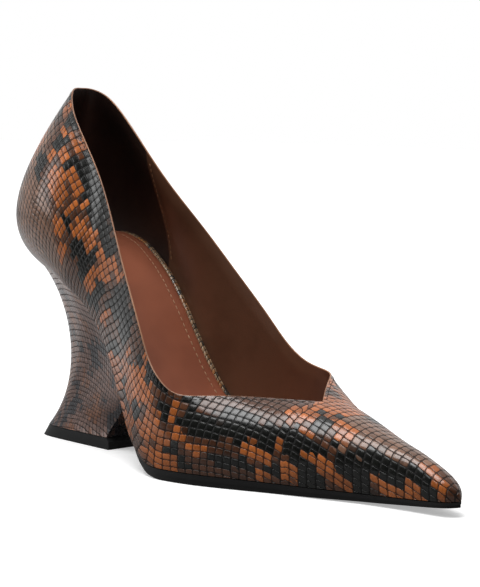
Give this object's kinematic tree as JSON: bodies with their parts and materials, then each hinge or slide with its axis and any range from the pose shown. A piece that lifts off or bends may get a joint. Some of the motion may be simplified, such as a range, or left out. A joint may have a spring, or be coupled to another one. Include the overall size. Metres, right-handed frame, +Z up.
{
  "type": "wedge pump",
  "caption": "Closed pump with a pointed toe, a V-cut throat and a high covered wedge heel waisted towards a small foot.",
  "frame": {"origin": "on the floor under the middle of the shoe's box", "axes": "+Z up, the toe points along -Y and the heel along +Y, +X is the inner side of the right foot"},
  "size_m": [0.0814, 0.2504, 0.1555],
  "materials": {
    "snake_leather": "glossy snake-embossed leather in tan, dark brown and grey-black patches",
    "rand_leather": "glossy snake-embossed leather",
    "sock_leather": "smooth satin brown leather",
    "sole_black": "satin black",
    "wedge_leather": "glossy snake-embossed leather in greyed brown",
    "heel_black": "matt dark grey to black"
  },
  "bodies": {
    "root": {"upper": "snake_leather", "insole": "rand_leather", "sock": "sock_leather", "outsole": "sole_black", "wedge": "wedge_leather", "top_piece": "heel_black"}
  },
  "joints": []
}
